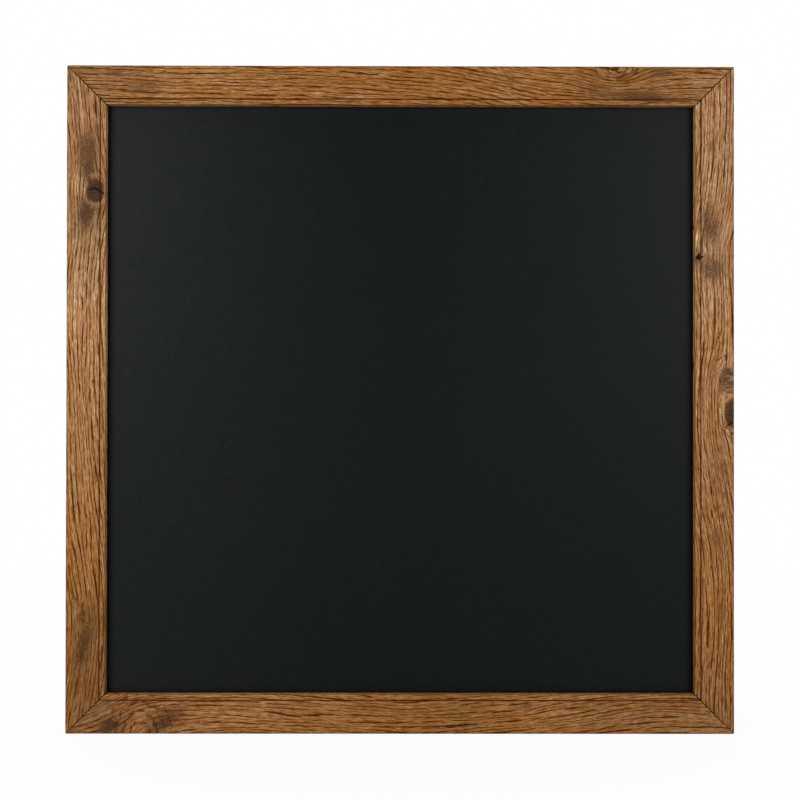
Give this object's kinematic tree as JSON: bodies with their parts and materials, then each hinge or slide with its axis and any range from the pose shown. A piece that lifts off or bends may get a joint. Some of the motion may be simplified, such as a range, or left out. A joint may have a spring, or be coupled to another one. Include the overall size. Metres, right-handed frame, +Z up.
{
  "type": "chalkboard",
  "caption": "Square wall chalkboard in a mitred, stained oak frame with an inner bead, held on the back by points, with swinging D-ring hangers and bumpers.",
  "frame": {"origin": "on the wall, midway between the two hooks that carry the board when its rings are turned up", "axes": "+X right as seen from the front, +Z up, +Y back towards the wall; the writing face looks along -Y"},
  "size_m": [0.6, 0.0247, 0.6],
  "materials": {
    "oak_frame": "stained, open-grained oak with a thin matt varnish",
    "chalk_coating": "hardboard with matt charcoal chalkboard coating",
    "hardboard": "bare brown hardboard",
    "v_nail_steel": "plain hardened strip",
    "point_steel": "thin bright strip",
    "hanger_zinc": "bright zinc plate",
    "screw_zinc": "bright zinc plate",
    "bumper_rubber": "matt black"
  },
  "bodies": {
    "frame": {"top_rail": "oak_frame", "bottom_rail": "oak_frame", "left_stile": "oak_frame", "right_stile": "oak_frame", "writing_panel": "chalk_coating", "backing_board": "hardboard", "v_nail_top_left_outer": "v_nail_steel", "v_nail_top_left_inner": "v_nail_steel", "v_nail_top_right_outer": "v_nail_steel", "v_nail_top_right_inner": "v_nail_steel", "v_nail_bottom_right_outer": "v_nail_steel", "v_nail_bottom_right_inner": "v_nail_steel", "v_nail_bottom_left_outer": "v_nail_steel", "v_nail_bottom_left_inner": "v_nail_steel", "point_top_1": "point_steel", "point_top_2": "point_steel", "point_top_3": "point_steel", "point_bottom_1": "point_steel", "point_bottom_2": "point_steel", "point_bottom_3": "point_steel", "point_left_1": "point_steel", "point_left_2": "point_steel", "point_left_3": "point_steel", "point_right_1": "point_steel", "point_right_2": "point_steel", "point_right_3": "point_steel", "strap_left": "hanger_zinc", "strap_right": "hanger_zinc", "screw_left_1": "screw_zinc", "screw_left_2": "screw_zinc", "screw_right_1": "screw_zinc", "screw_right_2": "screw_zinc", "bumper_top_left": "bumper_rubber", "bumper_top_right": "bumper_rubber", "bumper_bottom_right": "bumper_rubber", "bumper_bottom_left": "bumper_rubber"},
    "ring_left": {"ring_left": "hanger_zinc"},
    "ring_right": {"ring_right": "hanger_zinc"}
  },
  "joints": [
    {"name": "ring_left_swing", "type": "hinge", "parent": "frame", "child": "ring_left", "pos_m": [-0.286, -0.0026, -0.0145], "axis": [1, 0, 0], "range_deg": [0, 176]},
    {"name": "ring_right_swing", "type": "hinge", "parent": "frame", "child": "ring_right", "pos_m": [0.286, -0.0026, -0.0145], "axis": [1, 0, 0], "range_deg": [0, 176]}
  ]
}
